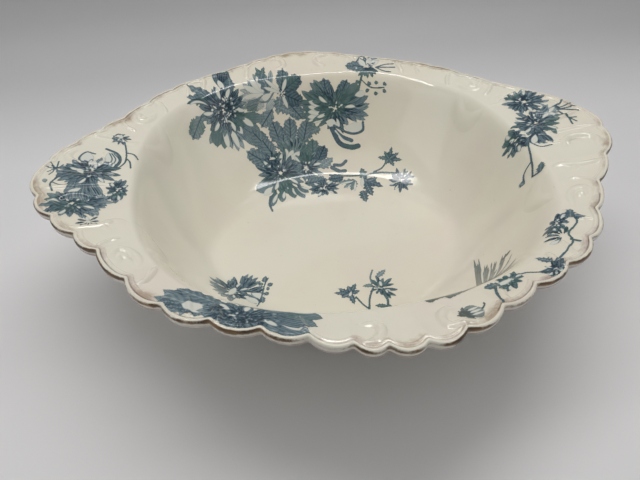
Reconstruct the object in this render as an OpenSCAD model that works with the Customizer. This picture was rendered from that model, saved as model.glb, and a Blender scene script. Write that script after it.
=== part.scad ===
// Open serving bowl in glazed porcelain.
// The plan is an oval drawn out to a point at each end and to a blunt corner at each side.
// A flat oval floor meets a cupped wall at a soft crease. The wall breaks outwards into a broad
// flange, and the flange ends in a scalloped, gilded edge with a raised thread just inside it.
// Angles run anticlockwise from the right-hand end, seen from above. The origin is on the table,
// under the middle of the bowl, with +X along the bowl's length and +Z up.

/* [Bowl] */
// Overall length between the two pointed ends
bowl_length = 254; // [220:1:290]
// Height of the rim above the table, at the ends and the side corners
rim_height = 65; // [58:1:75]
// How much lower the rim runs between an end and a corner
rim_dip = 2; // [0:0.5:4]
// Height of the inside floor above the table
floor_height = 8.5; // [7.5:0.5:11]
// How far the middle of the floor is dished
floor_dish = 0.8; // [0:0.1:1.5]
// Thickness of the clay
wall_t = 3.5; // [3:0.5:5]
// Height from the wall's top edge up to the rim
flange_rise = 7; // [4:0.5:10]

/* [Edge] */
// How far each scallop stands out from its neighbouring notches
lobe_depth = 2.6; // [0.4:0.2:4]
// How far the middle of each scallop is dished
flute_depth = 0.8; // [0:0.1:1.5]
// Distance from the edge in to the middle of the raised thread
thread_inset = 2.8; // [2.2:0.2:6]
// Width of the raised thread
thread_w = 1.6; // [1:0.2:3]
// Height of the raised thread
thread_h = 0.4; // [0.2:0.1:1]
// Width of the gilding on top of the edge
gilding_w = 1.2; // [0.8:0.2:2]
// Thickness of the gilding line
gilding_t = 0.15; // [0.1:0.05:0.3]

/* [Foot] */
// Width of the foot ring's flat base
foot_w = 5; // [3:0.5:8]
// Gap between the floor's crease and the outside of the foot ring
foot_inset = 2; // [1:0.5:6]

/* [Ornament] */
// Height of the raised scrolls and shells
relief_h = 0.9; // [0.4:0.1:1.5]
// Height of the printed sprays over the glaze
print_t = 0.3; // [0.2:0.05:0.5]

/* [Hidden] */

// Half length of the smooth outline that the scallops sit on
half = bowl_length / 2 - lobe_depth / 4;
// Half length and half width of the floor and of the wall's top edge, and how square each oval is
floor_l = 0.5 * half;
floor_w = 0.44 * half;
floor_power = 1.65;
wall_l = 0.69 * half;
wall_w = 0.7 * half;
wall_power = 2.35;
break_z = rim_height - flange_rise;
base_z = floor_height - wall_t;
// Part of the wall's rise that is straight, and the power of the cupped rest
wall_lean = 0.45;
wall_cup = 2.6;
// How full each scallop swells, from round at 0.5 to a soft wave at 1
swell_power = 0.75;
// Height over which the crease and the wall's top edge are rounded
crease_soft = 3;
break_soft = 5;
// Depth to which surface ornament is bedded in the clay
bed = 0.15;
// Step for taking the slope of the surface
probe = 0.2;

// Notches of one quarter, in degrees from its side corner: scallops that widen away from the
// corner up to a turning angle, then small even ones to the last notch before the end
function quarter_notches(first, turning, last, wide, small, growth) = concat(
    [for (i = [0:wide]) first + (turning - first) * pow(i / wide, growth)],
    [for (i = [1:1:small]) turning + (last - turning) * i / small]
);
right_notches = quarter_notches(1, 85, 85, 9, 0, 1.15);
left_notches = quarter_notches(5, 63, 84, 7, 3, 1.25);
last_right = len(right_notches) - 1;
last_left = len(left_notches) - 1;
notches = concat(
    [for (i = [last_left:-1:0]) -90 - left_notches[i]],
    [for (i = [0:last_right]) -90 + right_notches[i]],
    [for (i = [last_right:-1:0]) 90 - right_notches[i]],
    [for (i = [0:last_left]) 90 + left_notches[i]]
);
lobes = len(notches);

// ---- Plan ----

// Angle brought into the range from -180 to 180
function turn(a) = a - 360 * floor((a + 180) / 360);
// Start angle of scallop i, which may be one turn on
function notch(i) = notches[i % lobes] + 360 * floor(i / lobes);
// Number of the scallop that an angle falls in
function lobe_at(a) = len([for (n = notches) if (n <= a) 1]) - 1;
// Place across a scallop, from 0 at one notch to 1 at the next
function lobe_place(a, i) = (a - notch(i)) / (notch(i + 1) - notch(i));
function lobe_u(a) =
    let (i = lobe_at(a))
    i < 0 ? lobe_place(a + 360, lobes - 1) : lobe_place(a, i);
// Outward swell of a scallop, 0 at its notches and 1 in the middle
function swell(u) = pow(max(0, 1 - pow(2 * u - 1, 2)), swell_power);

function oval(a, l, w, power) =
    pow(pow(abs(cos(a)) / l, power) + pow(abs(sin(a)) / w, power), -1 / power);
function floor_r(a) = oval(a, floor_l, floor_w, floor_power);
function break_r(a) = oval(a, wall_l, wall_w, wall_power);
function outline_r(a) = half * (0.88 + 0.046 * cos(2 * a) + 0.039 * cos(4 * a)
    + 0.014 * cos(6 * a) + 0.021 * cos(8 * a));
function edge_r(a) = outline_r(a) + lobe_depth * (swell(lobe_u(turn(a))) - 0.75);
function rim_z(a) = rim_height - rim_dip * (1 - cos(4 * a)) / 2;

// ---- Inside surface ----

function soften(d, k) = pow(max(0, k - abs(d)) / k, 2) * k / 4;
function soft_max(p, q, k) = max(p, q) + soften(p - q, k);
function soft_min(p, q, k) = min(p, q) - soften(p - q, k);

function floor_z(s) = floor_height - floor_dish * (1 - s * s);
function wall_z(s) = floor_height
    + (break_z - floor_height) * (wall_lean * s + (1 - wall_lean) * pow(max(0, s), wall_cup));
function flange_z(s, rim) = break_z + (rim - break_z) * (0.75 * s + 0.25 * s * abs(s));
function flute_z(a, s) = -flute_depth * swell(lobe_u(turn(a))) * pow(min(max(s, 0), 1), 2);

// Height of the inside surface at an angle and a distance from the middle
function inside_z(a, r) =
    let (fr = floor_r(a), br = break_r(a), er = edge_r(a))
    let (s = max(-1.5, (r - br) / (er - br)))
    let (bowl = soft_max(floor_z(r / fr), wall_z((r - fr) / (br - fr)), crease_soft))
    soft_min(bowl, flange_z(s, rim_z(a)), break_soft) + flute_z(a, s);

// Slope of the inside surface away from the middle
function slope(a, r) = (inside_z(a, r) - inside_z(a, r - probe)) / probe;

// Distance from the middle at a stage: 0 to 1 floor, 1 to 2 wall, 2 to 3 flange
function stage_r(a, s) =
    s <= 1 ? floor_r(a) * s :
    s <= 2 ? floor_r(a) + (break_r(a) - floor_r(a)) * (s - 1) :
    break_r(a) + (edge_r(a) - break_r(a)) * (s - 2);

function polar(a, r, z) = [r * cos(a), r * sin(a), z];
function plan_z(p) = inside_z(atan2(p[1], p[0]), norm(p));

// Point over a plan position, a distance t out from the surface
function skin(p, t) =
    let (z = plan_z(p))
    let (n = [z - plan_z(p + [probe, 0]), z - plan_z(p + [0, probe]), probe])
    [p[0], p[1], z] + n * t / norm(n);

// ---- Solids from rows of points ----

function skin_quad(a, b, c, d) = [[a, b, c], [a, c, d]];

// Solid through rows of points that each run once around a section.
// A closed one joins its last row to its first. An open one is capped.
module swept(rows, closed) {
    m = len(rows[0]);
    n = len(rows);
    sides = [
        for (i = [0:(closed ? n - 1 : n - 2)], j = [0:m - 1])
            let (p = i * m, q = (i + 1) % n * m, k = (j + 1) % m)
            each skin_quad(p + j, q + j, q + k, p + k)
    ];
    caps = closed ? [] : [
        [for (j = [0:m - 1]) j],
        [for (j = [m - 1:-1:0]) (n - 1) * m + j]
    ];
    polyhedron(points = [for (row = rows) each row], faces = concat(sides, caps), convexity = 6);
}

// Thin solid on the surface inside an outline of plan points around a middle point
module patch(middle, outline, t) {
    n = len(outline);
    half_way = [for (p = outline) (p + middle) / 2];
    plan = concat([middle], half_way, outline);
    m = len(plan);
    points = concat([for (p = plan) skin(p, t)], [for (p = plan) skin(p, -bed)]);
    faces = [
        for (j = [0:n - 1])
            let (k = (j + 1) % n, a = 1 + j, b = 1 + k, c = a + n, d = b + n)
            each concat(
                [[0, a, b], [m, m + b, m + a]],
                skin_quad(c, d, b, a),
                skin_quad(m + a, m + b, m + d, m + c),
                skin_quad(m + c, m + d, d, c)
            )
    ];
    polyhedron(points = points, faces = faces, convexity = 4);
}

// ---- Printed motifs ----

// Lays out its children round a middle point, given by its angle and distance from the bowl's middle
module spray(a, r) {
    $middle = [a, r];
    children();
}

// Plan position of a point of the spray, in mm across to the right and up the surface from its
// middle, as seen by someone who faces outwards
function spot(p) =
    let (a = $middle[0], r = $middle[1])
    let (out = r + p[1] / sqrt(1 + pow(slope(a, r), 2)))
    [out * cos(a) + p[0] * sin(a), out * sin(a) - p[0] * cos(a)];

// Bloom of a radius with a number of petals
module bloom(p, radius, petals, stretch = 1) {
    step = 180 / petals;
    rim = [
        for (i = [0:2 * petals - 1])
            let (d = radius * (i % 2 == 0 ? 1 : 0.8))
            spot(p + d * [stretch * cos(i * step), -sin(i * step)])
    ];
    patch(spot(p), rim, print_t);
}

// Pointed leaf from its root to its tip
module leaf(root, tip, width) {
    steps = 10;
    run = tip - root;
    side = [-run[1], run[0]] / norm(run) * width / 2;
    rim = [
        for (i = [0:steps - 1])
            let (w = -i * 360 / steps)
            spot((root + tip) / 2 + run / 2 * cos(w) + side * sin(w) * (1 - 0.3 * cos(w)))
    ];
    patch(spot((root + tip) / 2), rim, print_t);
}

// Stem of a width through points of the spray
module stem(route, width = 1.2) {
    rows = [
        for (i = [0:len(route) - 1])
            let (here = spot(route[i]))
            let (from = route[max(i - 1, 0)], to = route[min(i + 1, len(route) - 1)])
            let (run = spot(to) - spot(from))
            let (side = [-run[1], run[0]] / norm(run) * width / 2)
            [skin(here + side, -bed), skin(here + side, print_t),
             skin(here - side, print_t), skin(here - side, -bed)]
    ];
    swept(rows, false);
}

// ---- Raised ornament ----

// Angle in the quarter that is right or left, far or near
function quarter(a, right, far) = right ? (far ? a : -a) : (far ? 180 - a : 180 + a);

// Rounded ridge along a route of angle and flange stage, tapered to its ends
module ridge(route, right, far, width) {
    n = len(route) - 1;
    plan = [
        for (p = route)
            let (a = quarter(p[0], right, far))
            stage_r(a, p[1]) * [cos(a), sin(a)]
    ];
    rows = [
        for (i = [0:n])
            let (run = plan[min(i + 1, n)] - plan[max(i - 1, 0)])
            let (fill = 0.35 + 0.65 * sin(180 * i / n))
            let (side = [-run[1], run[0]] / norm(run) * width / 2 * fill)
            [skin(plan[i] + side, -bed), skin(plan[i] + side / 3, relief_h * fill),
             skin(plan[i] - side / 3, relief_h * fill), skin(plan[i] - side, -bed)]
    ];
    swept(rows, false);
}

// Route of a curl around a point, from one angle to another as its radius grows.
// It is counted in degrees across the bowl and in flange stages up it.
function curl(a, s, wide, tall, from, to, steps = 8) = [
    for (i = [0:steps])
        let (w = from + (to - from) * i / steps, grow = 0.35 + 0.65 * i / steps)
        [a + wide * grow * cos(w), s + tall * grow * sin(w)]
];

// Shell of ribs that fan out on the flange at one end, on both sides of the point
module end_shell(right) {
    for (far = [true, false]) {
        ridge(curl(9, 2.55, 4.5, 0.3, 300, 60), right, far, 2.6);
        ridge([[2, 2.25], [2.4, 2.5], [2.8, 2.75], [3.2, 2.9]], right, far, 2);
        ridge([[17, 2.3], [18, 2.5], [18, 2.7], [17.5, 2.88]], right, far, 2.2);
    }
}

// Shell of ribs on the flange at one side corner, on both sides of the point
module side_shell(far) {
    for (right = [true, false]) {
        ridge(curl(82, 2.55, 4, 0.3, 240, 480), right, far, 2.6);
        ridge([[70, 2.3], [71, 2.5], [72, 2.7], [72, 2.88]], right, far, 2.2);
        ridge([[54, 2.35], [55.5, 2.55], [57, 2.75], [57.5, 2.9]], right, far, 2.2);
    }
}

// Curled rosette that fills one broad scallop
module rosette(right, far) {
    ridge(curl(31, 2.6, 4.5, 0.3, 40, 330, 12), right, far, 2.4);
    ridge(curl(31, 2.6, 1.8, 0.13, 0, 300, 6), right, far, 2);
    ridge([[37, 2.2], [38.5, 2.4], [39.5, 2.6], [39.5, 2.8]], right, far, 2);
}

// C-shaped scroll over the wall's top edge
module wall_scroll(right, far) {
    bow = [[31, 2.1], [30, 1.96], [27, 1.88], [23.5, 1.87], [20.5, 1.93], [19, 2.05]];
    ridge(bow, right, far, 2.4);
    ridge([[19, 2.15], [17.5, 2.25], [17.5, 2.4], [19.5, 2.48]], right, far, 2);
}

// ---- Sub-parts ----

// Stages of the clay's cross-section, up the inside and back along the outside
inside_stages = [0.45, 0.8, 1, 1.1, 1.3, 1.5, 1.7, 1.85, 1.95, 2.08, 2.3, 2.6, 2.85];
outside_stages = [2.6, 2.25, 2.05, 1.85, 1.6, 1.35, 1.15];
base_stages = [1.02, 0.5];
// Corners of the rolled edge, each as its distance in from the tip and down from the top
edge_corners = [[0.8, 0], [0, 1], [0.3, 2.4], [1.5, wall_t]];

// Point of the rolled edge at an angle, a distance out from the clay
function edge_point(a, corner, out = 0) =
    let (r = edge_r(a) - corner[0])
    polar(a, r + out, inside_z(a, r) - corner[1]);

function outside_point(a, s) =
    let (r = stage_r(a, s), k = slope(a, r))
    let (n = [-k, 1] / norm([k, 1]))
    polar(a, r - wall_t * n[0], inside_z(a, r) - wall_t * n[1]);

// Cross-section of the clay at an angle, from the middle of the inside over the edge
function clay_section(a) =
    concat(
        [for (s = inside_stages) let (r = stage_r(a, s)) polar(a, r, inside_z(a, r))],
        [for (corner = edge_corners) edge_point(a, corner)],
        [for (s = outside_stages) outside_point(a, s)],
        [for (s = base_stages) polar(a, floor_r(a) * s, base_z)]
    );

// Angles at which the clay is drawn: each scallop's notch and three places across it
across = [0, 0.2, 0.5, 0.8];
around = [for (i = [0:lobes - 1], u = across) notch(i) + (notch(i + 1) - notch(i)) * u];

module bowl_body() {
    rows = [for (a = around) clay_section(a)];
    n = len(rows);
    m = len(rows[0]);
    inner_pole = n * m;
    outer_pole = inner_pole + 1;
    points = concat(
        [for (row = rows) each row],
        [[0, 0, inside_z(0, 0)], [0, 0, base_z]]
    );
    faces = [
        for (i = [0:n - 1])
            let (p = i * m, q = (i + 1) % n * m)
            each concat(
                [[inner_pole, q, p], [outer_pole, p + m - 1, q + m - 1]],
                [for (j = [0:m - 2]) each skin_quad(p + j, q + j, q + j + 1, p + j + 1)]
            )
    ];
    color("#e9e4d3")
        polyhedron(points = points, faces = faces, convexity = 6);
}

module foot_ring() {
    steps = 96;
    outer = [
        for (i = [0:steps - 1])
            let (a = i * 360 / steps)
            (floor_r(a) - foot_inset) * [cos(a), sin(a)]
    ];
    inner = [for (p = outer) p * (1 - foot_w / norm(p))];
    color("#ded8c6")
        linear_extrude(height = base_z)
            difference() {
                polygon(outer);
                polygon(inner);
            }
}

// Band that wraps the edge from its top down to the lower corner of its face
module rim_gilding() {
    rows = [
        for (a = around)
            [edge_point(a, [gilding_w, bed]), edge_point(a, edge_corners[0] - [0, gilding_t]),
             edge_point(a, edge_corners[1], gilding_t), edge_point(a, edge_corners[2], gilding_t),
             edge_point(a, [gilding_w, gilding_w])]
    ];
    color("#8a6f4a")
        swept(rows, true);
}

module rim_thread() {
    flat = thread_w / 6;
    sides = [
        [thread_w / 2, bed],
        [flat, -thread_h],
        [-flat, -thread_h],
        [-thread_w / 2, bed]
    ];
    rows = [for (a = around) [for (p = sides) edge_point(a, p + [thread_inset, 0])]];
    color("#efe9da")
        swept(rows, true);
}

module end_shell_left() { color("#efe9da") end_shell(false); }
module end_shell_right() { color("#efe9da") end_shell(true); }
module side_shell_near() { color("#efe9da") side_shell(false); }
module side_shell_far() { color("#efe9da") side_shell(true); }
module rosette_near_right() { color("#efe9da") rosette(true, false); }
module rosette_near_left() { color("#efe9da") rosette(false, false); }
module rosette_far_right() { color("#efe9da") rosette(true, true); }
module rosette_far_left() { color("#efe9da") rosette(false, true); }
module wall_scroll_near_right() { color("#efe9da") wall_scroll(true, false); }
module wall_scroll_near_left() { color("#efe9da") wall_scroll(false, false); }
module wall_scroll_far_right() { color("#efe9da") wall_scroll(true, true); }
module wall_scroll_far_left() { color("#efe9da") wall_scroll(false, true); }

// Large chrysanthemum on the far left wall, with its bud on the flange
module print_main_bloom() {
    color("#5d7683") spray(122, 88) {
        bloom([0, 0], 15, 9);
        bloom([8, 15], 5, 5);
        leaf([-14, 3], [-26, -5], 8);
        leaf([12, -4], [23, -6], 8);
        stem([[3, 8], [6, 11], [8, 14]]);
    }
}

module print_star_leaf() {
    color("#5d7683") spray(99, 87) {
        bloom([0, 0], 8, 6);
        leaf([2, 0], [14, 4], 6);
        leaf([2, -7], [8, -18], 8);
        leaf([-6, -3], [-17, 6], 7);
    }
}

// Chrysanthemum with long curled petals that hang down the far wall
module print_curled_bloom() {
    color("#4f6a78") spray(80, 80) {
        bloom([2, 3], 13, 9);
        leaf([-1, 8], [-5, 20], 8);
        leaf([4, -8], [16, -17], 5);
        leaf([8, -5], [20, -6], 5);
    }
}

module print_low_bloom() {
    color("#5d7683") spray(106, 61) {
        bloom([0, 1], 14, 8, 1.2);
        leaf([-7, 9], [-17, 19], 9);
        leaf([6, 13], [12, 27], 9);
        leaf([-8, -9], [-17, -18], 6);
        leaf([8, -10], [28, -14], 8);
    }
}

// Twig along the floor's crease, with leaves to both sides and a bloom at its tip
module print_branch() {
    color("#4f6a78") spray(60, 57) {
        stem([[-20, -4], [-10, -2], [0, 1], [8, 3], [18, 3]]);
        leaf([2, -3], [9, -15], 6);
        leaf([-4, -4], [-12, -12], 5);
        leaf([6, 6], [14, 15], 7);
        bloom([22, 1], 8, 7);
    }
}

module print_top_sprig() {
    color("#5d7683") spray(66, 97) {
        bloom([0, 0], 7, 6);
        leaf([-3, -1], [-12, -2], 6);
        leaf([3, -10], [11, -12], 3);
        stem([[-2, -6], [-3, -9], [-4, -13]]);
    }
}

module print_far_right_spray() {
    color("#5d7683") spray(6, 98) {
        bloom([-14, 8], 9, 8);
        bloom([3, 2], 10, 8);
        bloom([10, -11], 7, 7);
        leaf([0, 12], [2, 23], 6);
        stem([[14, -8], [20, -10], [26, -10], [33, -9]]);
        bloom([36, -6], 4, 5);
    }
}

module print_right_rim_spray() {
    color("#4f6a78") spray(-54, 98) {
        stem([[-25, 0], [-14, 2], [-10, 4], [0, 4], [8, 3], [16, 0], [22, -3], [30, 0]]);
        bloom([-19, -4], 5, 6);
        bloom([-11, -1], 4, 5);
        bloom([9, 5], 5, 6);
        bloom([23, -4], 6, 7);
    }
}

// Feathered grass that rises from the near flange across the near right wall
module print_grass() {
    color("#7b8d92") spray(-62, 86) {
        stem([[30, 5], [18, 2], [8, 0], [-6, 0], [-18, 0], [-30, 1]], 3);
        stem([[6, 1], [-6, 4], [-16, 7], [-26, 9]], 3);
    }
}

module print_round_bud() {
    color("#5d7683") spray(-79, 102)
        bloom([0, 0], 5, 8);
}

module print_floor_sprig() {
    color("#4f6a78") spray(-80, 40) {
        bloom([-7, 0], 7, 7);
        leaf([4, -2], [13, -6], 6);
        stem([[-5, 4], [-3, 8], [1, 11]]);
        stem([[7, 1], [5, 6], [2, 10]]);
    }
}

// Large bloom laid along the near flange
module print_near_rim_bloom() {
    color("#5d7683") spray(-120, 96) {
        bloom([0, 1], 8.5, 8, 2);
        leaf([12, 2], [26, 4], 8);
        leaf([-14, 2], [-26, 4], 8);
    }
}

module print_near_wall_bloom() {
    color("#5d7683") spray(-150, 58) {
        bloom([3, 2], 9, 8);
        leaf([-3, -4], [-9, -12], 5);
        stem([[-4, 6], [-10, 9], [-17, 13]], 2);
    }
}

module print_left_spray() {
    color("#5d7683") spray(177, 104) {
        bloom([0, 1], 10, 9);
        bloom([-22, 2], 9, 8);
        bloom([-13, -10], 5, 6);
        leaf([4, -5], [15, -5], 6);
        stem([[14, -8], [20, -10], [25, -9]]);
        bloom([27, -6], 4, 6);
        stem([[-1, 10], [-6, 13], [-12, 14]]);
        bloom([-35, -3], 4, 6);
    }
}

bowl_body();
foot_ring();
rim_gilding();
rim_thread();
end_shell_left();
end_shell_right();
side_shell_near();
side_shell_far();
rosette_near_right();
rosette_near_left();
rosette_far_right();
rosette_far_left();
wall_scroll_near_right();
wall_scroll_near_left();
wall_scroll_far_right();
wall_scroll_far_left();
print_main_bloom();
print_star_leaf();
print_curled_bloom();
print_low_bloom();
print_branch();
print_top_sprig();
print_far_right_spray();
print_right_rim_spray();
print_grass();
print_round_bud();
print_floor_sprig();
print_near_rim_bloom();
print_near_wall_bloom();
print_left_spray();
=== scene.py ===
import math

import bpy
import numpy as np
from mathutils import Matrix, Vector


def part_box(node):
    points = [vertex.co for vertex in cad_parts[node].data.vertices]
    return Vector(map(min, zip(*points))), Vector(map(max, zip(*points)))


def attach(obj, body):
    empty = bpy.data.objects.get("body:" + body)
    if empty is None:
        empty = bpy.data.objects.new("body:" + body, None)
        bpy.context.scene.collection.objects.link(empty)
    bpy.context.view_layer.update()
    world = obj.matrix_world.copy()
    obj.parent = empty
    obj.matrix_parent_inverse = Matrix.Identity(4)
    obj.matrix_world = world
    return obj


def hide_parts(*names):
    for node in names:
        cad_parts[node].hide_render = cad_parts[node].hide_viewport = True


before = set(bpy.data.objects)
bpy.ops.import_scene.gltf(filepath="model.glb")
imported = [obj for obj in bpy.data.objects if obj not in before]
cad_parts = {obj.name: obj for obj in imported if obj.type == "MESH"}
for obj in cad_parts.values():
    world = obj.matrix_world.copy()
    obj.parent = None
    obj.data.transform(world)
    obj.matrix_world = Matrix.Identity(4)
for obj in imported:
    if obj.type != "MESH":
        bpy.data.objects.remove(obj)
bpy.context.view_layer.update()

# Lengths below are in millimetres and angles in degrees, measured as on the bowl: anticlockwise
# from its right-hand end. Meshes are scaled to metres when they are made.
MM = 0.001
low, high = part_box("bowl_body")
foot_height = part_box("foot_ring")[1].z / MM

# Scallops. SWELL_MEAN is the part of their depth that lies inside the plain outline, and TOP_SINK
# is how far the flutes under them keep the bowl's highest point below the plain rim.
LOBE_DEPTH = 2.6
SWELL_POWER = 0.75
SWELL_MEAN = 0.75
FLUTE_DEPTH = 0.8
TOP_SINK = 0.2

# Section of the bowl. A lean is the straight part of a rise, and the rest of it is curved.
WALL = 3.5
DISH = 0.8
WALL_LEAN = 0.45
WALL_CUP = 2.6
FLANGE_RISE = 7.0
FLANGE_LEAN = 0.75
RIM_DIP = 2.0
CREASE_ROUND = 3
TURN_ROUND = 8
HALF = (high.x - low.x) / 2 / MM - LOBE_DEPTH * (1 - SWELL_MEAN)
RIM = high.z / MM + TOP_SINK
BREAK = RIM - FLANGE_RISE
BASE = low.z / MM
FLOOR = BASE + WALL

# Plan of the bowl, in shares of HALF: waves round the outline by how often they repeat, and the
# length, width and power of the ovals at the floor's crease and at the wall's top.
OUTLINE_WAVES = {0: 0.88, 2: 0.046, 4: 0.039, 6: 0.014, 8: 0.021}
FLOOR_OVAL = (0.5, 0.44, 1.65)
BREAK_OVAL = (0.69, 0.7, 2.35)


def quarter_notches(first, turning, last, wide, small, growth):
    """Degrees from a side corner: widening scallops up to a turning angle, then small even ones."""
    widening = [first + (turning - first) * (i / wide) ** growth for i in range(wide + 1)]
    return widening + [turning + (last - turning) * i / small for i in range(1, small + 1)]


RIGHT_NOTCHES = quarter_notches(1, 85, 85, 9, 0, 1.15)
LEFT_NOTCHES = quarter_notches(5, 63, 84, 7, 3, 1.25)
NOTCHES = np.array(sorted(
    [-90 + n for n in RIGHT_NOTCHES] + [90 - n for n in RIGHT_NOTCHES]
    + [-90 - n for n in LEFT_NOTCHES] + [90 + n for n in LEFT_NOTCHES]), float)


# ---- The bowl's surface ----

def cosd(a):
    return np.cos(np.radians(a))


def sind(a):
    return np.sin(np.radians(a))


def plan(a, r):
    """Plan position of an angle and a distance from the middle."""
    return r * cosd(a), r * sind(a)


def polar(x, y):
    """Angle and distance from the middle of a plan position."""
    return np.degrees(np.arctan2(y, x)), np.hypot(x, y)


def lobe_place(a):
    """Place across a scallop, 0 at one notch and 1 at the next."""
    a = (np.asarray(a, float) + 180) % 360 - 180
    ends = np.concatenate([[NOTCHES[-1] - 360], NOTCHES, [NOTCHES[0] + 360]])
    i = np.searchsorted(ends, a, side="right") - 1
    return (a - ends[i]) / (ends[i + 1] - ends[i])


def swell(a):
    u = lobe_place(a)
    return np.clip(1 - (2 * u - 1) ** 2, 0, 1) ** SWELL_POWER


def outline(a):
    return HALF * sum(size * cosd(times * a) for times, size in OUTLINE_WAVES.items())


TURN_STEP = 0.05
TURN = np.arange(0, 360, TURN_STEP)


def rounded(values, degrees):
    """Values around the bowl, smoothed over an angle."""
    freq = np.fft.rfftfreq(len(values), d=TURN_STEP)
    return np.fft.irfft(np.fft.rfft(values) * np.exp(-2 * (np.pi * freq * degrees) ** 2), len(values))


EDGE_TABLE = rounded(outline(TURN) + LOBE_DEPTH * (swell(TURN) - SWELL_MEAN), 0.3)
FLUTE_TABLE = rounded(swell(TURN), 0.8)


def edge_r(a):
    return np.interp(a, TURN, EDGE_TABLE, period=360)


def flute(a):
    return np.interp(a, TURN, FLUTE_TABLE, period=360)


def oval(a, length, width, power):
    across, up = np.abs(cosd(a)) / (length * HALF), np.abs(sind(a)) / (width * HALF)
    return (across ** power + up ** power) ** (-1 / power)


def floor_r(a):
    return oval(a, *FLOOR_OVAL)


def break_r(a):
    return oval(a, *BREAK_OVAL)


def rim_z(a):
    return RIM - RIM_DIP * (1 - cosd(4 * a)) / 2


def soften(d, k):
    return (np.clip(k - np.abs(d), 0, None) / k) ** 2 * k / 4


def inside_z(a, r):
    """Height of the inside surface at an angle and a distance from the middle."""
    fr, br, er = floor_r(a), break_r(a), edge_r(a)
    s = np.maximum(-1.5, (r - br) / (er - br))
    w = (r - fr) / (br - fr)
    floor = FLOOR - DISH * (1 - (r / fr) ** 2)
    wall = FLOOR + (BREAK - FLOOR) * (WALL_LEAN * w + (1 - WALL_LEAN) * np.clip(w, 0, None) ** WALL_CUP)
    flange = BREAK + (rim_z(a) - BREAK) * (FLANGE_LEAN * s + (1 - FLANGE_LEAN) * s * np.abs(s))
    bowl = np.maximum(floor, wall) + soften(floor - wall, CREASE_ROUND)
    return (np.minimum(bowl, flange) - soften(bowl - flange, TURN_ROUND)
            - FLUTE_DEPTH * flute(a) * np.clip(s, 0, 1) ** 2)


def stage_r(a, s):
    """Distance from the middle at a stage: 0 to 1 floor, 1 to 2 wall, 2 to 3 flange."""
    fr, br, er = floor_r(a), break_r(a), edge_r(a)
    return np.where(s <= 1, fr * s, np.where(s <= 2, fr + (br - fr) * (s - 1), br + (er - br) * (s - 2)))


def plan_z(x, y):
    return inside_z(*polar(x, y))


def plan_normal(x, y, e=0.15):
    n = np.stack([(plan_z(x - e, y) - plan_z(x + e, y)) / (2 * e),
                  (plan_z(x, y - e) - plan_z(x, y + e)) / (2 * e), np.ones_like(x)], -1)
    return n / np.linalg.norm(n, axis=-1, keepdims=True)


def on_surface(x, y, lift):
    """Points over plan positions, a distance out from the smooth inside surface."""
    p = np.stack([x, y, plan_z(x, y)], -1)
    return p + plan_normal(x, y) * np.asarray(lift)[..., None]


# ---- Raised and sunk ornament ----

def smooth_path(points, steps=10):
    """Rounded path through points, by a Catmull-Rom curve."""
    p = np.asarray(points, float)
    p = np.concatenate([[2 * p[0] - p[1]], p, [2 * p[-1] - p[-2]]])
    t = np.linspace(0, 1, steps, endpoint=False)[:, None]
    rows = []
    for i in range(1, len(p) - 2):
        a, b, c, d = p[i - 1:i + 3]
        rows.append(0.5 * (2 * b + (c - a) * t + (2 * a - 5 * b + 4 * c - d) * t * t
                           + (3 * b - 3 * c + d - a) * t ** 3))
    return np.concatenate(rows + [p[-2:-1]])


def nearest(x, y, path):
    """Distance to a path, place along it from 0 to 1, and the side it is on."""
    best = np.full(np.shape(x), 1e9)
    along = np.zeros(np.shape(x))
    side = np.zeros(np.shape(x))
    run = np.concatenate([[0], np.cumsum(np.linalg.norm(np.diff(path, axis=0), axis=1))])
    for i in range(len(path) - 1):
        ax, ay = path[i]
        dx, dy = path[i + 1] - path[i]
        size = dx * dx + dy * dy + 1e-12
        t = np.clip(((x - ax) * dx + (y - ay) * dy) / size, 0, 1)
        ox, oy = x - ax - t * dx, y - ay - t * dy
        d = np.hypot(ox, oy)
        near = d < best
        best = np.where(near, d, best)
        along = np.where(near, (run[i] + t * (run[i + 1] - run[i])) / run[-1], along)
        side = np.where(near, np.sign(dx * oy - dy * ox), side)
    return best, along, side


def quarter(a, right, far):
    return (a if far else -a) if right else (180 - a if far else 180 + a)


def curl(a, s, wide, tall, start, end, steps=10):
    """Route of a curl, in degrees across the bowl and flange stages up it."""
    rows = []
    for i in range(steps + 1):
        w, grow = start + (end - start) * i / steps, 0.3 + 0.7 * i / steps
        rows.append((a + wide * grow * cosd(w), s + tall * grow * sind(w)))
    return rows


def ridge(route, right, far, width, height, steps=8):
    """Ridge or, with a negative height, groove along a route on the flange, in plan."""
    route = np.asarray(route, float)
    a = np.array([quarter(p, right, far) for p in route[:, 0]])
    path = smooth_path(np.stack(plan(a, stage_r(a, route[:, 1])), -1), steps)
    return {"path": path, "width": width, "height": height,
            "low": path.min(0) - width, "high": path.max(0) + width}


def raised(x, y, ridges):
    """Height of a group of ridges over the surface at plan positions. They taper at both ends."""
    top = np.zeros(np.shape(x))
    for item in ridges:
        inside = ((x > item["low"][0]) & (x < item["high"][0])
                  & (y > item["low"][1]) & (y < item["high"][1]))
        if not inside.any():
            continue
        d, t, _ = nearest(x[inside], y[inside], item["path"])
        taper = np.clip(np.sin(np.pi * np.clip(t, 0.0, 1.0)) * 1.6, 0, 1) ** 0.7
        across = np.clip(1 - d / (item["width"] / 2 * (0.45 + 0.55 * taper)), 0, 1)
        h = item["height"] * taper * (1 - (1 - across) ** 2) ** 1.5
        old = top[inside]
        top[inside] = np.where(h >= 0, np.maximum(old, h), np.minimum(old, h))
    return top


# A route's points are degrees from the bowl's long axis and stages, as in stage_r.

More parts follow.
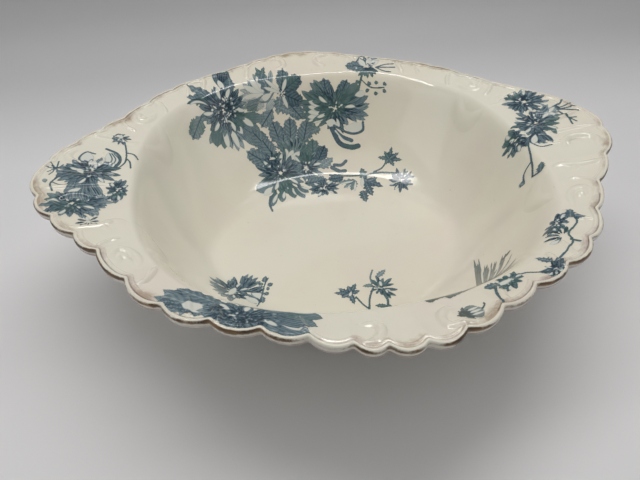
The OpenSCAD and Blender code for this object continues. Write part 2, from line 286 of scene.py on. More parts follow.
def end_shell(right):
    rows = []
    for far in (True, False):
        rows += [
            ridge(curl(9, 2.55, 4.5, 0.3, 300, 60), right, far, 4.2, 1.0),
            ridge([(2, 2.2), (2.4, 2.45), (2.8, 2.7), (3.3, 2.9)], right, far, 3.2, 0.9),
            ridge([(17, 2.25), (18.2, 2.5), (18.2, 2.7), (17.5, 2.9)], right, far, 3.6, 0.9),
            ridge([(6.5, 2.25), (7.3, 2.4), (8.6, 2.5)], right, far, 2.6, 0.6),
        ]
    return rows


def side_shell(far):
    rows = []
    for right in (True, False):
        rows += [
            ridge(curl(82, 2.55, 4, 0.3, 240, 480), right, far, 4.0, 1.0),
            ridge([(70, 2.25), (71, 2.5), (72, 2.7), (72, 2.9)], right, far, 3.4, 0.8),
            ridge([(54, 2.3), (55.5, 2.55), (57, 2.75), (57.5, 2.92)], right, far, 3.4, 0.9),
            ridge([(48.5, 2.3), (49.8, 2.5), (51.5, 2.7), (52, 2.85)], right, far, 2.8, 0.6),
        ]
    return rows


def rosette(right, far):
    return [
        ridge(curl(31, 2.6, 4.6, 0.3, 40, 330, 14), right, far, 3.8, 0.65),
        ridge(curl(31, 2.6, 1.5, 0.1, 0, 300, 6), right, far, 3.0, 0.6),
        ridge([(37, 2.2), (38.5, 2.4), (39.5, 2.6), (39.5, 2.8)], right, far, 3.0, 0.8),
        ridge([(24, 2.35), (24.3, 2.55), (25.2, 2.75), (26.5, 2.88)], right, far, 2.6, 0.7),
    ]


def wall_scroll(right, far):
    hook = [(19, 2.14), (17.6, 2.25), (17.5, 2.4), (19.3, 2.5), (21, 2.42)]
    return [
        ridge([(31, 2.12), (30, 1.97), (27, 1.89), (23.5, 1.88), (20.5, 1.94), (19, 2.06)],
              right, far, 5.0, 0.4),
        ridge(hook, right, far, 3.4, 0.5),
    ]


# Quarters of the bowl by name, and whether each is on the right and on the far side.
QUARTERS = {"near_right": (True, False), "near_left": (False, False),
            "far_right": (True, True), "far_left": (False, True)}
RELIEF = {
    "end_shell_left": end_shell(False), "end_shell_right": end_shell(True),
    "side_shell_near": side_shell(False), "side_shell_far": side_shell(True),
}
for kind, design in (("rosette_", rosette), ("wall_scroll_", wall_scroll)):
    for name, sides in QUARTERS.items():
        RELIEF[kind + name] = design(*sides)
ALL_RIDGES = [item for rows in RELIEF.values() for item in rows]
GROOVES = []
for right, far in QUARTERS.values():
    GROOVES += [ridge(curl(31, 2.6, 3.1, 0.2, 20, 320, 12), right, far, 2.6, -0.25),
                ridge(curl(9, 2.55, 2.4, 0.16, 300, 60), right, far, 2.6, -0.3)]
THREAD_INSET, THREAD_WIDTH, THREAD_HEIGHT = 2.8, 1.7, 0.42


def thread(x, y):
    a, r = polar(x, y)
    across = np.clip(1 - np.abs(edge_r(a) - r - THREAD_INSET) / (THREAD_WIDTH / 2), 0, 1)
    return THREAD_HEIGHT * (1 - (1 - across) ** 2) ** 1.5


# ---- Meshes ----

def put(name, data):
    """New object in the scene."""
    piece = bpy.data.objects.new(name, data)
    bpy.context.scene.collection.objects.link(piece)
    return piece


def mesh_object(name, points, faces):
    mesh = bpy.data.meshes.new(name)
    mesh.from_pydata((np.asarray(points) * MM).tolist(), [], [tuple(int(i) for i in f) for f in faces])
    mesh.validate()
    mesh.update()
    mesh.polygons.foreach_set("use_smooth", [True] * len(mesh.polygons))
    return put(name, mesh)


def new_piece(name, points, faces):
    piece = mesh_object(name, points, faces)
    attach(piece, "root")
    return piece


def set_value(piece, name, values):
    layer = piece.data.attributes.new(name, "FLOAT", "POINT")
    layer.data.foreach_set("value", np.asarray(values, float).ravel())


STAIN_REACH = 7.0


def mark_edge(piece):
    """Nearness to the scalloped edge, from 0 at the reach of the stains to 1 at the tip."""
    places = np.empty(3 * len(piece.data.vertices))
    piece.data.vertices.foreach_get("co", places)
    x, y, _ = places.reshape(-1, 3).T / MM
    a, r = polar(x, y)
    set_value(piece, "edge", np.clip(1 - (edge_r(a) - r) / STAIN_REACH, 0, 1))


def strips(shape, closed=True):
    """Faces between rows of a grid, whose points are numbered in order."""
    n, m = shape
    faces = []
    for i in range(n - 1):
        for j in range(m if closed else m - 1):
            k = (j + 1) % m
            faces.append((i * m + j, i * m + k, (i + 1) * m + k, (i + 1) * m + j))
    return faces


def grid_faces(keep):
    """Points that the kept cells of a grid use, and their faces between those points."""
    i, j = np.nonzero(keep)
    m = keep.shape[1] + 1
    quads = np.stack([i * m + j, (i + 1) * m + j, (i + 1) * m + j + 1, i * m + j + 1], -1)
    used, index = np.unique(quads.ravel(), return_inverse=True)
    return used, index.reshape(-1, 4)


class Rings:
    """Mesh built from closed rings, each with as many points as the last, or half or twice as many."""

    def __init__(self):
        self.points, self.faces, self.last, self.count = [], [], None, 0

    def add(self, ring):
        m, start = len(ring), self.count
        self.points.append(ring)
        self.count += m
        if self.last is not None:
            n, old = self.last
            if m == n:
                for j in range(m):
                    k = (j + 1) % m
                    self.faces.append((old + j, old + k, start + k, start + j))
            else:
                few, many = (start, old) if m < n else (old, start)
                size = min(m, n)
                for j in range(size):
                    k, p = (j + 1) % size, 2 * j
                    q, s = p + 1, (p + 2) % (2 * size)
                    rows = [(few + j, many + p, many + q), (few + j, many + q, few + k),
                            (few + k, many + q, many + s)]
                    self.faces += [r[::-1] for r in rows] if m > n else rows
        self.last = (m, start)

    def cap(self, point, up):
        m, start = self.last
        self.points.append(np.asarray([point]))
        for j in range(m):
            face = (start + j, start + (j + 1) % m, self.count)
            self.faces.append(face if up else face[::-1])
        self.count += 1


PER_LOBE = 20
LOBE_ENDS = np.append(NOTCHES, NOTCHES[0] + 360)
AROUND = np.concatenate([
    np.linspace(first, last, PER_LOBE, endpoint=False) for first, last in zip(LOBE_ENDS, LOBE_ENDS[1:])])
LIP_ROUND = 0.9
LIP_FACE = 3.0
LIP_LEAN = 0.25
LIP_UNDER = 0.8


def ring_at(a, r, z):
    """Points at angles, distances from the middle and heights."""
    return np.stack([*plan(a, r), z + np.zeros_like(a)], -1)


def surface_ring(a, s):
    """Ring of the inside surface at a stage, with the grooves."""
    x, y = plan(a, stage_r(a, s))
    lift = raised(x, y, GROOVES) if s > 2.05 else np.zeros_like(a)
    return on_surface(x, y, lift)


def section_ring(a, inset, drop):
    """Ring of the rolled edge, a distance in from the tip and down from the inside surface."""
    return ring_at(a, edge_r(a) - inset, inside_z(a, edge_r(a) - max(inset, LIP_ROUND)) - drop)


def lip_profile():
    """Inset and drop of each row from the top corner, over the tip, to the underside."""
    rows = []
    for w in np.linspace(15, 90, 6):
        rows.append((LIP_ROUND * (1 - sind(w)), LIP_ROUND * (1 - cosd(w))))
    for t in np.linspace(0.2, 1, 5):
        rows.append((LIP_LEAN * t * t, LIP_ROUND + (LIP_FACE - LIP_ROUND) * t))
    for w in np.linspace(20, 80, 4):
        rows.append((LIP_LEAN + LIP_UNDER * (1 - cosd(w)), LIP_FACE + LIP_UNDER * sind(w)))
    return rows


def inside_rings():
    """Rings of the inside surface, closer together and with more points towards the edge."""
    rings = [surface_ring(AROUND[::4], s) for s in (0.08, 0.2, 0.35, 0.5, 0.62, 0.72, 0.8, 0.86)]
    for s in (*np.linspace(0.9, 1.16, 12), *np.linspace(1.2, 1.8, 14)):
        rings.append(surface_ring(AROUND[::2], s))
    for s in (*np.linspace(1.83, 2.12, 12), *np.linspace(2.15, 2.9, 26)):
        rings.append(surface_ring(AROUND, s))
    return rings


def edge_rings():
    profile = [(1.8, 0.0), (1.35, 0.0), (LIP_ROUND, 0.0)] + lip_profile()
    return [section_ring(AROUND, inset, drop) for inset, drop in profile]


def outside_rings():
    """Rings of the outside, a wall's thickness away from the inside, and the underside."""
    places = [(AROUND, edge_r(AROUND) - 2.2)]
    for s in (2.8, 2.65, 2.5, 2.3, 2.15, 2.07, 2.0, 1.93, 1.85, 1.75, 1.6, 1.45, 1.3, 1.18, 1.1):
        a = AROUND if s > 2.2 else AROUND[::2]
        places.append((a, stage_r(a, s)))
    rings, e = [], 0.2
    for a, r in places:
        slope = (inside_z(a, r) - inside_z(a, r - e)) / e
        size = np.hypot(slope, 1)
        rings.append(ring_at(a, r + WALL * slope / size, inside_z(a, r) - WALL / size))
    for s, rise in ((1.03, 0.25), (1.0, 0), (0.94, 0), (0.8, 0), (0.5, 0), (0.2, 0)):
        rings.append(ring_at(AROUND[::4], floor_r(AROUND[::4]) * s, BASE + rise))
    return rings


def bowl_mesh():
    first, *others = inside_rings() + edge_rings() + outside_rings()
    body = Rings()
    body.add(first)
    body.cap([0, 0, float(plan_z(np.zeros(1), np.zeros(1))[0])], up=False)
    # The next ring joins the first one, not the cap's point.
    body.last = (len(first), 0)
    for ring in others:
        body.add(ring)
    body.cap([0, 0, BASE], up=True)
    return new_piece("bowl_glaze", np.concatenate(body.points), [f[::-1] for f in body.faces])


RELIEF_STEP = 0.3
SUNK = 0.03


def merged_boxes(ridges):
    """Boxes round the ridges, where those that overlap are joined."""
    boxes = []
    for item in ridges:
        for box in boxes:
            if (item["low"] < box[1]).all() and (item["high"] > box[0]).all():
                box[:] = np.minimum(box[0], item["low"]), np.maximum(box[1], item["high"])
                break
        else:
            boxes.append([item["low"], item["high"]])
    return boxes


def relief_piece(name):
    """Raised ornament as thin skins that rise out of the clay and sink back into it."""
    points, faces, count = [], [], 0
    for start, end in merged_boxes(RELIEF[name]):
        nx, ny = np.ceil((end - start) / RELIEF_STEP).astype(int) + 1
        x, y = np.meshgrid(start[0] + RELIEF_STEP * np.arange(nx), start[1] + RELIEF_STEP * np.arange(ny),
                           indexing="ij")
        x, y = x.ravel(), y.ravel()
        h = raised(x, y, RELIEF[name])
        proud = (h > 0.004).reshape(nx, ny)
        used, cells = grid_faces(proud[:-1, :-1] | proud[1:, :-1] | proud[1:, 1:] | proud[:-1, 1:])
        points.append(on_surface(x, y, h - SUNK)[used])
        faces += (cells + count).tolist()
        count += len(used)
    piece = new_piece(name + "_glaze", np.concatenate(points), faces)
    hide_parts(name)
    return piece


def band_piece(name, rows):
    faces = [f[::-1] for f in strips((len(rows), len(AROUND)))]
    return new_piece(name, np.concatenate(rows), faces)


def rim_thread_piece():
    rows = []
    for inset in THREAD_INSET + THREAD_WIDTH / 2 * np.linspace(1.05, -1.05, 9):
        x, y = plan(AROUND, edge_r(AROUND) - inset)
        rows.append(on_surface(x, y, thread(x, y) - SUNK))
    piece = band_piece("rim_thread_glaze", rows)
    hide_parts("rim_thread")
    return piece


GILDING_LIFT = 0.05


def gilding_piece():
    """Band over the lip, whose value fades it out at both sides."""
    profile = [(1.5, 0.0), (1.2, 0.0), (LIP_ROUND, 0.0)] + lip_profile()[:10]
    rows = np.array([section_ring(AROUND, inset, drop) for inset, drop in profile])
    inner = np.concatenate([rows[:1], rows, rows[-1:]])
    down = inner[2:] - inner[:-2]
    along = np.roll(rows, -1, axis=1) - np.roll(rows, 1, axis=1)
    n = np.cross(along, down)
    n /= np.linalg.norm(n, axis=-1, keepdims=True)
    if n[0, :, 2].mean() < 0:
        n = -n
    lift = np.full(len(profile), GILDING_LIFT)
    lift[0] = lift[-1] = -SUNK
    piece = band_piece("rim_gilding_band", rows + n * lift[:, None, None])
    band = np.interp(np.arange(len(profile)), [0, 2.5, 5, 8, 10.5, 12], [0, 0.15, 0.8, 1, 0.45, 0])
    set_value(piece, "band", np.repeat(band, len(AROUND)))
    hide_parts("rim_gilding")
    return piece


FOOT_INSET = 2


def foot_piece():
    """Foot ring, by the inset and height of each row, from outside to inside."""
    a = AROUND[::4]
    profile = [(0.1, foot_height + 0.1), (0.0, foot_height - 0.8), (0.1, 2.5), (0.35, 1.0), (0.7, 0.3),
               (1.2, 0.04), (1.8, 0.0), (3.4, 0.0), (4.0, 0.06), (4.4, 0.35), (4.7, 1.1),
               (4.95, foot_height - 1.2), (5.0, foot_height + 0.1)]
    rows = [ring_at(a, floor_r(a) - FOOT_INSET - inset, z) for inset, z in profile]
    piece = new_piece("foot_ring_glaze", np.concatenate(rows), strips((len(rows), len(a))))
    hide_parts("foot_ring")
    return piece


# ---- Printed flowers ----

INK_STEP = 0.24
INK_LIFT = 0.07
INK_INSET = 0.2
EDGE_SOFT = 0.25
OUTLINE = 0.32
RIB_SPACING = 0.95


def surface_point(a, r):
    """Point of the inside surface and its normal."""
    x, y = plan(np.array([a]), r)
    return on_surface(x, y, [0.0])[0], plan_normal(x, y)[0]


def half_width(shape, width, s, side):
    """Half of a mark's width at places along it. Leaves are toothed."""
    if shape == "line":
        return width / 2 * np.ones_like(s)
    if shape == "leaf":
        return width / 2 * np.sin(np.pi * s ** 0.75) ** 0.8 * (1 + 0.22 * np.sin(s * 26 + side))
    return width / 2 * np.sin(np.pi * np.clip(s, 0.02, 0.995) ** 1.3) ** 0.6


def filling(shape, width, tone, d, s, half):
    """Ink and white inside a mark, with a darker rim, a petal's ribs and a leaf's veins."""
    rim_ink = np.clip(1 - np.abs(half - d) / OUTLINE, 0, 1)
    if tone == 0:
        drawn = rim_ink * (width > 1.2)
        return 0.55 * drawn, 1.0 - 0.7 * drawn
    ribs = 0.17 * np.cos(2 * np.pi * d / RIB_SPACING) * (shape == "petal") * (width > 2)
    veins = 0.1 * np.sin(s * 40 - d * 2.5) * (shape == "leaf")
    body = tone * (0.74 + ribs + veins) + 0.3 * (1 - s) * (shape == "petal") * tone
    fill = np.clip(body + 0.42 * rim_ink, 0, 1)
    if shape == "leaf":
        fill = fill - 0.35 * np.clip(1 - d / 0.35, 0, 1) * tone
    return fill, 0.0


class Spray:
    """One printed spray: marks in mm across and up the surface from a point on it."""

    def __init__(self, a, r, seed):
        self.random = np.random.default_rng(seed)
        self.marks = []
        self.middle, self.normal = surface_point(a, r)
        outward = np.array([cosd(a), sind(a), 0])
        up = outward - self.normal * (outward @ self.normal)
        self.up = up / np.linalg.norm(up)
        self.across = np.cross(self.up, self.normal)

    def at(self, a, r):
        """Position in the spray of a point given by angle and distance from the bowl's middle."""
        away = surface_point(a, r)[0] - self.middle
        return away @ self.across, away @ self.up

    def mark(self, shape, path, width, tone):
        self.marks.append((shape, np.asarray(path, float), width, tone))

    def blade(self, start, end, width, tone=0.8, bend=0.0, shape="petal"):
        """Petal or leaf from its root to its tip, bowed to the left of its run by a share of its length."""
        a, b = np.asarray(start, float), np.asarray(end, float)
        run = b - a
        middle = (a + b) / 2 + bend * np.array([-run[1], run[0]])
        t = np.linspace(0, 1, 9)[:, None]
        path = (1 - t) ** 2 * a + 2 * t * (1 - t) * middle + t * t * b
        self.mark(shape, path, width, tone)

    def pale(self, start, end, width, bend=0.0):
        self.blade(start, end, width, 0.0, bend)

    def leaf(self, start, end, width, tone=0.8, bend=0.0):
        self.blade(start, end, width, tone, bend, "leaf")

    def line(self, points, width=0.8, tone=0.8):
        self.mark("line", smooth_path(points, 6), width, tone)

    def fan(self, middle, radius, first, last, count, tone=0.75, squash=1.0, root=0.15):
        """Petals that spread from a point between two directions, in degrees."""
        for w in np.linspace(first, last, count):
            w += self.random.uniform(-4, 4)
            reach = radius * self.random.uniform(0.84, 1.1)
            way = np.array([cosd(w), squash * sind(w)])
            width = radius * self.random.uniform(0.2, 0.28)
            shade = np.clip(tone + self.random.uniform(-0.16, 0.12), 0.1, 1)
            bow = self.random.uniform(-0.14, 0.14)
            self.blade(middle + root * radius * way, middle + reach * way, width, shade, bow)
            for drift in (-0.22, 0.0, 0.22):
                hatch = self.random.choice([0.3, 0.45, 1.0])
                begin = middle + reach * self.random.uniform(0.3, 0.5) * way
                end = middle + reach * self.random.uniform(0.75, 0.93) * way
                aside = drift * width * np.array([-way[1], way[0]])
                self.blade(begin + aside, end + aside, 0.55, hatch, bow)

    def tuft(self, middle, radius, squash=1.0, tones=(1.0, 0.9, 0.3, 0.0)):
        """Short dark and light strokes at a flower's heart."""
        for i in range(int(10 + 5 * radius)):
            w, d = self.random.uniform(0, 360), radius * self.random.uniform(0.1, 0.9)
            way = np.array([cosd(w), squash * sind(w)])
            start = middle + d * way
            tone = tones[i % len(tones)]
            self.blade(start, start + self.random.uniform(0.9, 1.9) * way, 0.8, tone, 0.2)

    def bloom(self, middle, radius, count, tone=0.75, squash=1.0, slivers=4):
        """Chrysanthemum seen from the front: three rings of petals, pale slivers and a heart."""
        middle = np.asarray(middle, float)
        turn = self.random.uniform(0, 360)
        self.fan(middle, radius, turn, turn + 360 - 360 / count, count, tone - 0.12, squash)
        self.fan(middle, radius * 0.78, turn + 12, turn + 372 - 360 / count, count, tone + 0.08, squash)
        for i in range(slivers):
            w = turn + 360 * (i + self.random.uniform(0, 0.6)) / slivers
            way = radius * np.array([cosd(w), squash * sind(w)])
            self.pale(middle + 0.4 * way, middle + 0.85 * way, radius * 0.15, 0.15)
        self.fan(middle, radius * 0.5, turn, turn + 330, max(count - 3, 5), tone + 0.18, squash)
        self.tuft(middle, radius * 0.32, squash)

    def lobed_leaf(self, start, end, width, tone=0.8):
        """Leaf with two pairs of side lobes that lean towards its tip."""
        a, b = np.asarray(start, float), np.asarray(end, float)
        run = b - a
        side = np.array([-run[1], run[0]])
        for place in (0.3, 0.58):
            root = a + place * run
            for hand in (1, -1):
                self.leaf(root, root + 0.3 * run + hand * 0.32 * side * (1.25 - place), width * 0.5, tone)
        self.leaf(a, b, width * 0.62, tone)
        self.line([a, a + 0.5 * run, a + 0.9 * run], 0.5, min(tone + 0.25, 1))

    def paint(self):
        """Ink and pale fill on a grid over the marks, where later marks cover earlier ones."""
        reach = [np.concatenate([path.min(0) - w, path.max(0) + w]) for _, path, w, _ in self.marks]
        start, end = np.min(reach, 0)[:2], np.max(reach, 0)[2:]
        self.us = np.arange(start[0], end[0] + INK_STEP, INK_STEP)
        self.vs = np.arange(start[1], end[1] + INK_STEP, INK_STEP)
        ink, pale = np.zeros((2, len(self.us), len(self.vs)))
        for (shape, path, width, tone), box in zip(self.marks, reach):
            i0, i1 = np.searchsorted(self.us, [box[0] - 1, box[2] + 1])
            j0, j1 = np.searchsorted(self.vs, [box[1] - 1, box[3] + 1])
            u, v = np.meshgrid(self.us[i0:i1], self.vs[j0:j1], indexing="ij")
            d, s, side = nearest(u, v, path)
            half = half_width(shape, width, s, side)
            cover = np.clip((half - d) / EDGE_SOFT + 0.5, 0, 1)
            fill, white = filling(shape, width, tone, d, s, half)
            ink[i0:i1, j0:j1] += cover * (fill - ink[i0:i1, j0:j1])
            pale[i0:i1, j0:j1] += cover * (white - pale[i0:i1, j0:j1])
        return ink, pale

    def place(self):
        """Points of the surface under the grid, looking along the spray's own normal."""
        u, v = np.meshgrid(self.us, self.vs, indexing="ij")
        flat = self.middle + u[..., None] * self.across + v[..., None] * self.up
        out = np.zeros(u.shape)
        for _ in range(25):
            p = flat + out[..., None] * self.normal
            out -= np.clip((p[..., 2] - plan_z(p[..., 0], p[..., 1])) * self.normal[2] * 0.9, -2, 2)
        return flat + out[..., None] * self.normal

    def piece(self, name, slot_name, material):
        """Skin over the glaze where there is ink or white."""
        ink, pale = self.paint()
        x, y, z = np.moveaxis(self.place(), -1, 0)
        a, r = polar(x, y)
        shown = ((ink > 0.01) | (pale > 0.01)) & (r < edge_r(a) - LIP_ROUND - INK_INSET)
        shown &= np.abs(z - plan_z(x, y)) < 0.3
        used, faces = grid_faces(shown[:-1, :-1] & shown[1:, :-1] & shown[1:, 1:] & shown[:-1, 1:])
        x, y = x.ravel()[used], y.ravel()[used]
        lift = np.maximum(raised(x, y, ALL_RIDGES), raised(x, y, GROOVES)) + thread(x, y) + INK_LIFT
        skin = new_piece(name + "_ink", on_surface(x, y, lift), faces)
        set_value(skin, "ink", ink.ravel()[used])
        set_value(skin, "pale", pale.ravel()[used])
        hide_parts(name)
        give(skin, material)


# Each spray below is laid out round the point that SPRAYS gives it. The first number of
# a place is to the right and the second is up the surface, for someone who faces outwards from
# the bowl's middle.

def main_bloom(s):
    s.line([(-8, 4), (-15, 3), (-21, 1)], 1.4)
    s.lobed_leaf((-15, 3), (-27, -5), 13, 0.6)
    s.leaf((-5, 8), (-10, 20), 6, 0.75)
    s.leaf((-8, 8), (-16, 15), 6)
    s.fan((-2, -5), 18, 205, 320, 9, 0.6)
    s.pale((10, 2), (19, -1), 8)
    s.lobed_leaf((12, -4), (24, -6), 11, 0.5)
    for tip in ((6, -25), (13, -20), (19, -14)):
        s.blade((4, -6), tip, 6.5, 0.6)
    s.blade((-8, -3), (-15, -15), 7, 0.75)
    for tip in ((-9, -19), (-3, -22), (3, -16), (11, -15)):
        s.pale((tip[0] * 0.6, -7), tip, 3.4)
    s.blade((4, 8), (13, 20), 9, 0.75)
    s.blade((7, 13), (14, 19), 5, 1.0)
    s.pale((4, 9), (7, 15), 3)
    s.line([(9, 10), (14, 15), (15, 19)], 1, 0.85)
    s.leaf((8, 8), (13, 14), 5, 0.85)
    s.bloom((-1, 0), 15, 26, 0.85, slivers=6)
    for reach in (8, 11, 14):
        s.blade((-7, 4), (-5 - reach, 12), 2.5, 0.85, -0.35)
        s.pale((-8, 6), (-4 - reach, 11), 1.5, -0.35)
    for place in ((-4, 2), (2, 3), (-2, -4), (4, -2)):
        s.tuft(place, 4)


def star_leaf(s):
    s.fan((-10, -2), 15, 60, 200, 11, 0.4)
    s.lobed_leaf((2, -8), (8, -20), 11, 0.7)
    s.lobed_leaf((-8, -9), (-18, -17), 10, 0.6)
    for tip in ((-20, 8), (-15, 11), (-10, 12), (-22, 2)):
        s.pale((-10, 1), tip, 3.5, 0.1)
    s.pale((-17, -7), (-5, -1), 7)
    s.blade((-12, -9), (-5, -4), 5, 0.25)
    s.line([(-17, -1), (-10, -4), (-4, 0)], 1, 0.6)
    s.leaf((-7, 0), (-9, 16), 6)
    s.leaf((-9, 9), (-4, 15), 3, 0.85)
    s.lobed_leaf((1, -1), (14, 4), 12, 0.95)
    s.lobed_leaf((1, -3), (11, -11), 13, 0.95)
    s.lobed_leaf((0, 0), (6, 11), 9)
    s.leaf((-1, -3), (-6, -13), 6, 0.65)
    s.leaf((-4, -9), (4, -15), 5, 0.65)
    for tip in ((5, 5), (-7, 8), (1, -11), (-9, 4)):
        s.pale((0, -2), tip, 2.2)
    s.tuft((0, -2), 2)


def curled_bloom(s):
    s.lobed_leaf((-2, 8), (-5, 21), 12)
    s.lobed_leaf((-4, 6), (-15, 12), 11, 0.7)
    s.lobed_leaf((5, 10), (9, 21), 9, 0.85)
    s.fan((-1, 4), 17, 120, 215, 9, 0.65)
    for end in (-4, -1, 2, 5, 8):
        s.pale((-2, end / 2), (-13, end - 1), 3.4)
    s.line([(-3, 0), (-9, -4), (-14, -6)], 0.9)
    s.leaf((-9, -5), (-13, -14), 5, 0.6)
    s.leaf((-5, -8), (-12, -11), 5, 0.6)
    s.fan((6, 5), 16, -25, 75, 9, 0.62)
    s.bloom((3, 4), 14, 17, 0.85)
    s.blade((9, 12), (15, 19), 5, 0.6)
    s.pale((14, 12), (20, 14), 4)
    s.pale((-2, -4), (4, -5), 5)
    s.pale((9, -6), (20, -4), 6, -0.3)
    s.line([(3, -6), (13, -10), (20, -8), (20, -3)], 1.4, 0.85)
    s.line([(3, -8), (8, -12), (14, -14)], 2.2, 0.85)
    s.line([(2, -8), (7, -16), (14, -18), (18, -17)], 3, 0.95)
    s.line([(4, -9), (9, -14), (15, -16)], 0.8, 0.0)


def low_bloom(s):
    for start, end in (((-5, 16), (-13, 29)), ((3, 17), (1, 31)), ((9, 17), (12, 30)), ((16, 14), (22, 26)),
                       ((-8, 8), (-19, 18)), ((-3, 11), (-8, 23)), ((3, 12), (6, 23)),
                       ((12, 6), (14, 19)), ((19, 3), (22, 15))):
        s.lobed_leaf(start, end, 13, 0.68)
    s.fan((8, 8), 12, 20, 110, 7, 0.5)
    s.lobed_leaf((20, 0), (28, 9), 10, 0.9)
    s.leaf((21, -3), (30, 0), 6, 0.6)
    for tip in ((5, 14), (9, 12), (13, 10)):
        s.pale((3, 6), tip, 3.5)
    s.blade((-9, -4), (-21, -6), 8, 0.6)
    s.pale((-9, -6), (-18, -10), 4)
    s.bloom((13, 0), 11, 14, 0.65)
    s.bloom((-3, 1), 14, 19, 0.84)
    s.fan((-5, 9), 6, 0, 320, 9, 0.9)
    s.pale((-7, 10), (-3, 10), 1.6, 0.3)
    for tip in ((-18, -19), (-11, -18), (-3, -18), (2, -20), (6, -17)):
        s.blade((tip[0] * 0.55, -9), tip, 4.4, 0.65)
        s.pale((tip[0] * 0.6 + 1, -11), (tip[0] + 2, tip[1] + 2), 2)
    s.line([(-15, -12), (-18, -17), (-19, -22)], 1.2)
    s.lobed_leaf((8, -10), (22, -12), 10, 0.7)
    s.lobed_leaf((22, -12), (31, -14), 9, 0.85)
    s.bloom((16, -17), 10, 11, 0.7, squash=0.7)


def branch(s):
    s.line([(-20, -4), (-10, -2), (0, 1), (8, 4), (18, 5)], 1.2)
    s.line([(5, 4), (9, 7), (11, 12)], 1)
    for tip in ((12, 20), (5, 13), (20, 13), (10, 9), (16, 9), (8, 17), (17, 17)):
        s.leaf((12, 13), tip, 2.6, 0.9)
    s.line([(-19, 3), (-15, 4), (-13, 7)], 2, 0.85)
    s.line([(-20, 1), (-15, 0), (-12, 1)], 2.4, 0.85)
    s.leaf((1, -2), (-3, 5), 5, 0.85)
    s.leaf((0, -2), (13, -5), 5, 0.9)
    s.leaf((3, -3), (8, 1), 3, 0.85)
    s.leaf((2, -4), (9, -14), 5, 0.95)
    s.leaf((2, -11), (7, -20), 5, 0.95)
    s.pale((-1, 0), (1, -8), 2.4)
    for tip in ((-9, -12), (-14, -9), (-4, -13)):
        s.leaf((-4, -4), tip, 4, 0.6)
        s.pale((-4, -4), (tip[0] + 2, tip[1]), 1.6)
    s.bloom((22, 1), 8, 11, 0.78)


def top_sprig(s):
    s.lobed_leaf((-3, 0), (-14, -1), 11, 0.7)
    s.fan((0, 0), 9, 60, 130, 5, 0.8)
    s.fan((0, 0), 8, 215, 330, 7, 0.85)
    for tip in ((-6, 6), (0, 7), (5, 6)):
        s.pale((tip[0] / 4, 0), tip, 3.6, 0.15)
    s.line([(-8, 3), (-6, 8), (-2, 9)], 1)
    s.blade((-2, -2), (4, -2), 3.5, 1.0)
    for tip in ((14, 4), (15, 1), (13, -3)):
        s.line([(4, 0), (9, tip[1] * 0.8), tip], 0.9, 0.75)
    s.tuft((1, 2), 2)
    s.line([(-3, -5), (-4, -9), (-5, -13)], 1.2)
    s.line([(-4, -8), (2, -11), (10, -11)], 0.6)
    for spot in ((0, -9), (4, -9), (-1, -13), (4, -13.5), (9, -12), (9, -9), (-7, -10)):
        s.leaf(spot, (spot[0] + 2.6, spot[1] + spot[0] % 3 - 1), 1.8, 0.95)


def far_right_spray(s):
    s.line([(13, -4), s.at(-5, 89.5), s.at(-10, 88), s.at(-14, 87.5), s.at(-17, 87)])
    s.line([s.at(-12, 87.7), s.at(-13, 85.5), s.at(-16, 85)])
    s.leaf(s.at(-16, 85), s.at(-14, 84), 2.2, 0.85)
    s.line([s.at(-17, 87), s.at(-18, 89), s.at(-17, 90)])
    s.leaf(s.at(-18, 89), s.at(-15, 90), 3.2, 0.9)
    s.leaf(s.at(-4, 91), s.at(-7, 97), 3.5, 0.45)
    s.line([s.at(-5, 90), s.at(-8, 93), s.at(-8, 98)])
    for tip in ((-6, 24), (-1, 26), (3, 27), (6, 24)):
        s.line([(-1, 14), (tip[0] * 0.5, 20), tip], 1)
    for tip in ((14, 15), (13, 18), (10, 20)):
        s.line([(2, 16), (8, 17), tip], 0.9)
    s.leaf((-3, 15), (2, 18), 3, 1.0)
    s.fan((0, 6), 11, 40, 120, 6, 0.35)
    for tip in ((-1, 16), (3, 14), (7, 10)):
        s.pale((1, 7), tip, 3.2)
    s.bloom((10, -12), 9, 13, 0.75, squash=0.5)
    s.bloom((-14, 8), 11, 15)
    s.bloom((5, 2), 12, 16, 0.8)
    s.fan((10, -1), 12, -60, -5, 5, 0.85)
    s.pale((13, -4), (19, -9), 3)


def right_rim_spray(s):
    s.line([(-25, -1), (-22, 1), (-14, 1), (-10, 4), (0, 4), (6, 4), (12, 2), (15, -2), (20, -4)])
    s.bloom((-19, -5), 8, 10, 0.8, squash=0.5)
    s.leaf((-24, -2), (-29, -4), 4, 0.85)
    s.leaf((-25, -1), (-26, 3), 2.4, 0.9)
    s.fan((-12, 0), 7, 190, 350, 6, 0.85)
    s.pale((-9, 0), (-5, -2), 2)
    s.line([(-11, 3), (-11, 6)], 1)
    s.bloom((9, 6), 6, 9, 0.85, squash=0.8)
    s.leaf((5, 3), (5, -3), 2.6, 0.85)
    s.bloom((22, -4), 7, 10, 0.85, squash=0.6)
    s.pale((20, -4), (26, -6), 2.2)
    s.leaf((25, -6), (30, -9), 4, 0.85)
    s.line([(28, -6), (31, -4), (35, 0)], 0.9)


